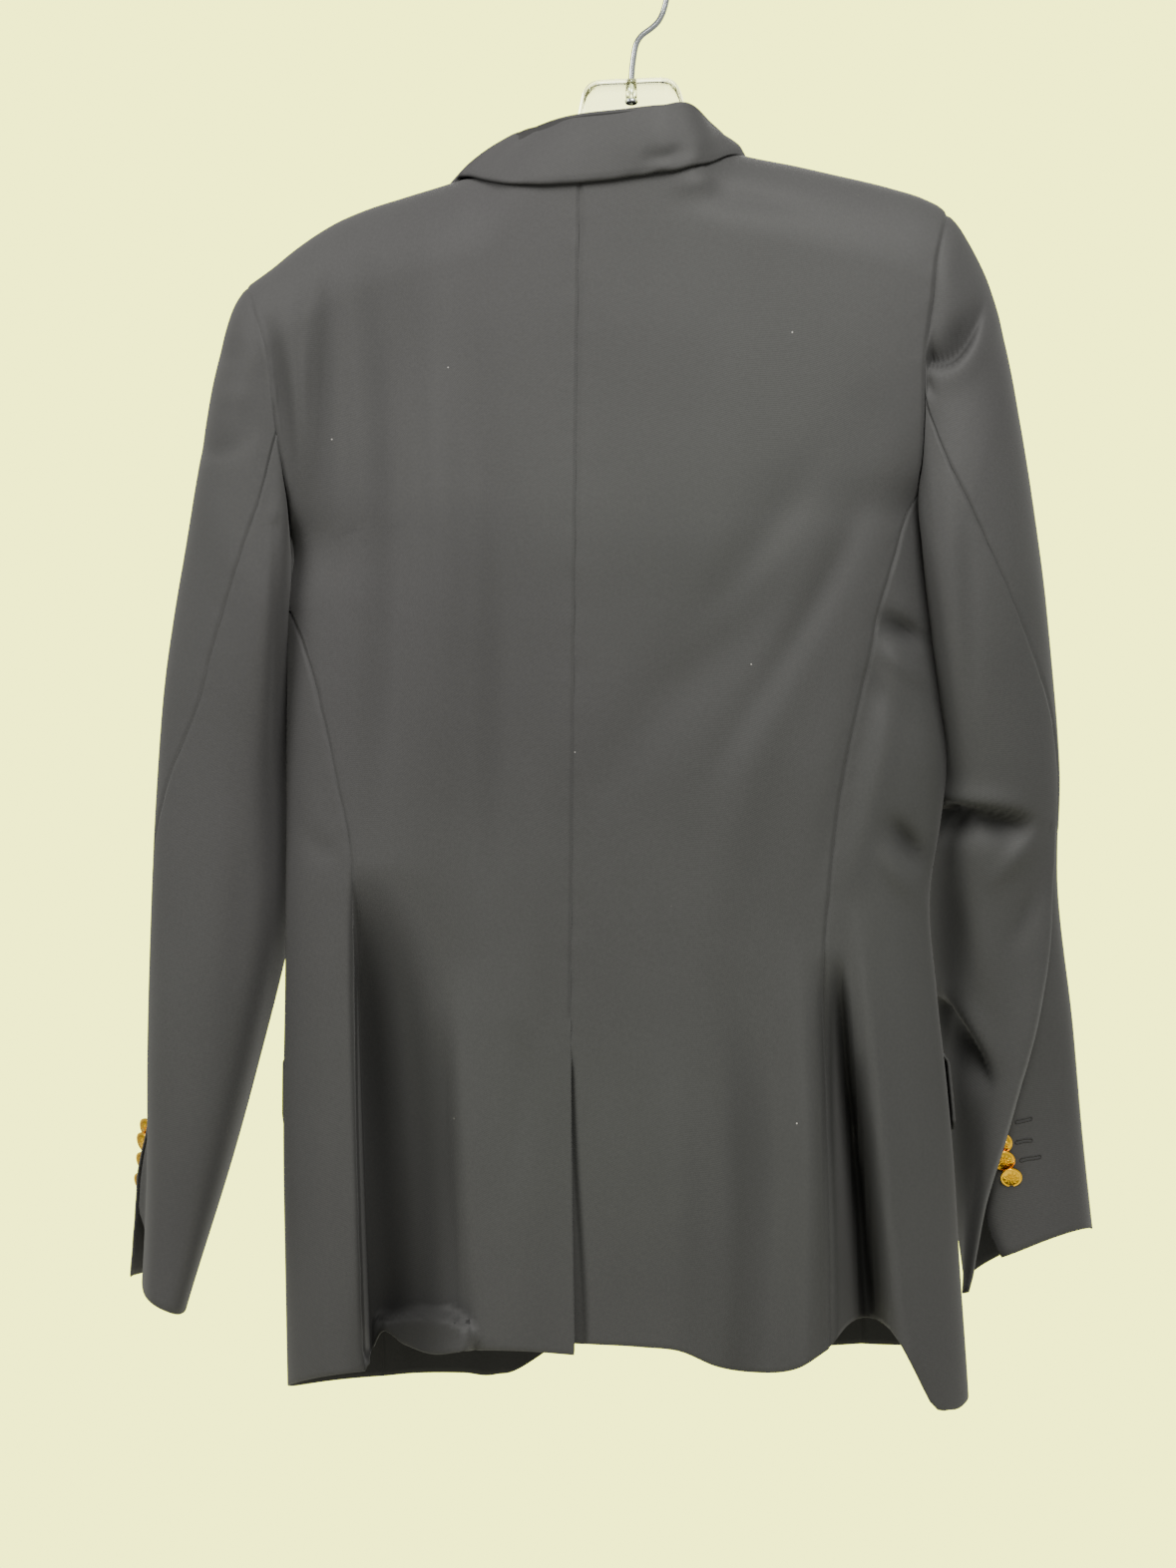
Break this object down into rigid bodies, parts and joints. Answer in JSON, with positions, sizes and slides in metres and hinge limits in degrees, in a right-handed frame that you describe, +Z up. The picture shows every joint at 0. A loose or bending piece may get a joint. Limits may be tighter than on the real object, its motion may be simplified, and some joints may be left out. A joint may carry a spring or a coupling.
{
  "type": "blazer on a clear hanger",
  "caption": "Single-breasted wool blazer with a centre vent and gold metal buttons, hanging open and empty from the wire hook of a clear plastic hanger.",
  "frame": {"origin": "the top of the inside of the hanger's hook, where a rail carries it", "axes": "+X to the wearer's right, +Y to the wearer's front, +Z up; the back faces -Y"},
  "size_m": [0.6396, 0.1663, 0.9472],
  "materials": {
    "wool": "smooth charcoal wool with a soft sheen",
    "gold_metal": "gold-coloured plating, polished",
    "clear_plastic": "clear moulded plastic, glossy",
    "hook_chrome": "chromed wire"
  },
  "bodies": {
    "root": {"back_left": "wool", "back_right": "wool", "side_left": "wool", "side_right": "wool", "front_left": "wool", "front_right": "wool", "lapel_left": "wool", "lapel_right": "wool", "collar": "wool", "top_sleeve_left": "wool", "under_sleeve_left": "wool", "top_sleeve_right": "wool", "under_sleeve_right": "wool", "flap_left": "wool", "flap_right": "wool", "cuff_button_left_1": "gold_metal", "cuff_button_left_2": "gold_metal", "cuff_button_left_3": "gold_metal", "cuff_button_left_4": "gold_metal", "cuff_button_right_1": "gold_metal", "cuff_button_right_2": "gold_metal", "cuff_button_right_3": "gold_metal", "cuff_button_right_4": "gold_metal", "front_button_1": "gold_metal", "front_button_2": "gold_metal", "hanger": "clear_plastic", "hanger_hook": "hook_chrome"}
  },
  "joints": []
}
